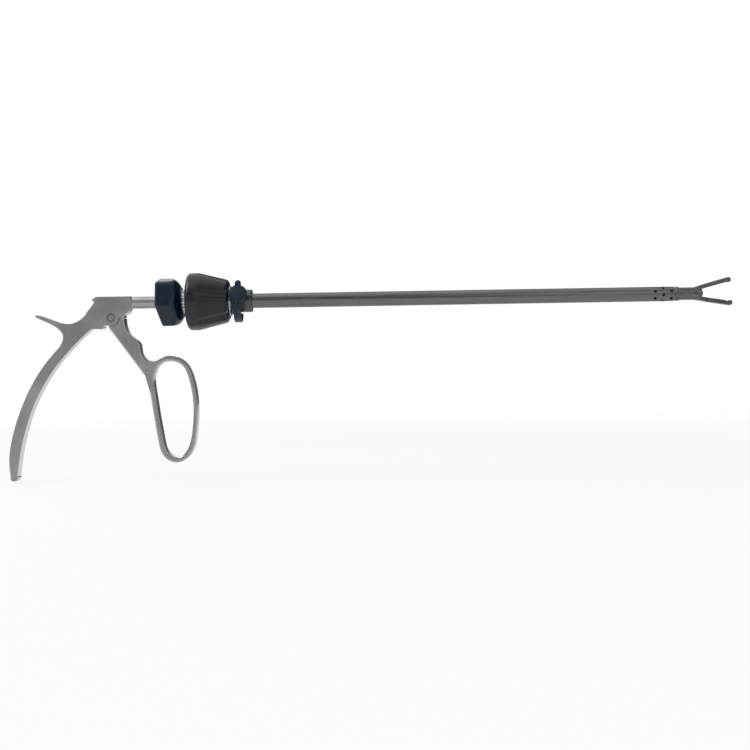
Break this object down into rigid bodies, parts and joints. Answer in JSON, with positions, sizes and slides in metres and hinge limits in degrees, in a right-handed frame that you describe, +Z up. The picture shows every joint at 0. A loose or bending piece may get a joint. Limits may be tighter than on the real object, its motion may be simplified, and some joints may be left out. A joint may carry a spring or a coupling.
{
  "type": "surgical clip applier",
  "caption": "Long keyhole-surgery clip applier: pistol grip with finger-loop lever, quick-release nut, turning knob, flush port and a slim shaft with two clip jaws.",
  "frame": {"origin": "on the axis of the shaft, at the front face of the tube hub, where the working length starts", "axes": "+X along the shaft towards the jaws, +Z up away from the handles, +Y away from the side that the flush port faces, so the handles lie in the XZ plane"},
  "size_m": [0.4973, 0.0392, 0.1408],
  "materials": {
    "handle_steel": "satin, edges polished",
    "polished_steel": "polished",
    "retainer_chrome": "mirror polished",
    "tube_steel": "fine drawn satin",
    "jaw_steel": "satin, lightly peened",
    "hub_alloy": "grey-green anodised",
    "nut_plastic": "navy blue, half gloss",
    "knob_plastic": "dark grey, fine grain",
    "cap_silicone": "navy silicone",
    "seal_silicone": "moulded",
    "guide_plastic": "turned",
    "bush_bronze": "turned"
  },
  "bodies": {
    "handle": {"rear_handle": "handle_steel", "pivot_screw": "handle_steel", "screw_seat": "handle_steel", "coupling_sleeve": "polished_steel", "nut_circlip": "polished_steel", "lock_balls": "polished_steel", "click_ring": "polished_steel"},
    "trigger": {"front_handle": "handle_steel", "trigger_bush": "bush_bronze"},
    "lock": {"lock_nut": "nut_plastic"},
    "shaft_unit": {"knob_core": "polished_steel", "click_balls": "polished_steel", "click_spring": "polished_steel", "rod_seals": "seal_silicone", "rotation_knob": "knob_plastic", "knob_retainer": "retainer_chrome", "tube_hub": "hub_alloy", "flush_port": "polished_steel", "cap_strap": "cap_silicone", "outer_tube": "tube_steel", "end_sleeve": "tube_steel", "rod_guide": "guide_plastic", "jaw_housing": "jaw_steel", "jaw_pin": "jaw_steel", "jaw_spacer": "polished_steel"},
    "rod": {"drive_rod": "polished_steel", "rod_spool": "polished_steel", "drive_blade": "polished_steel", "drive_pin": "polished_steel"},
    "cap": {"port_cap": "cap_silicone"},
    "jaw_upper": {"upper_jaw": "jaw_steel"},
    "jaw_lower": {"lower_jaw": "jaw_steel"}
  },
  "joints": [
    {"name": "trigger_squeeze", "type": "hinge", "parent": "handle", "child": "trigger", "pos_m": [-0.0965, 0, -0.0104], "axis": [0, 1, 0], "range_deg": [0, 20]},
    {"name": "lock_turn", "type": "hinge", "parent": "handle", "child": "lock", "pos_m": [0, 0, 0], "axis": [1, 0, 0], "range_deg": [0, 90]},
    {"name": "shaft_turn", "type": "hinge", "parent": "handle", "child": "shaft_unit", "pos_m": [0, 0, 0], "axis": [1, 0, 0], "continuous": true},
    {"name": "rod_slide", "type": "slide", "parent": "shaft_unit", "child": "rod", "axis": [1, 0, 0], "range_m": [0, 0.00367]},
    {"name": "upper_jaw_close", "type": "hinge", "parent": "shaft_unit", "child": "jaw_upper", "pos_m": [0.3037, 0, 0], "axis": [0, 1, 0], "range_deg": [0, 16.5]},
    {"name": "lower_jaw_close", "type": "hinge", "parent": "shaft_unit", "child": "jaw_lower", "pos_m": [0.3037, 0, 0], "axis": [0, -1, 0], "range_deg": [0, 10.5]},
    {"name": "cap_pull", "type": "slide", "parent": "shaft_unit", "child": "cap", "axis": [0, -0.9397, 0.342], "range_m": [0, 0.006]}
  ],
  "couplings": [
    {"joint": "rod_slide", "follows": "trigger_squeeze", "m_per_rad": 0.010507},
    {"joint": "upper_jaw_close", "follows": "trigger_squeeze", "ratio": 0.825},
    {"joint": "lower_jaw_close", "follows": "trigger_squeeze", "ratio": 0.525}
  ]
}
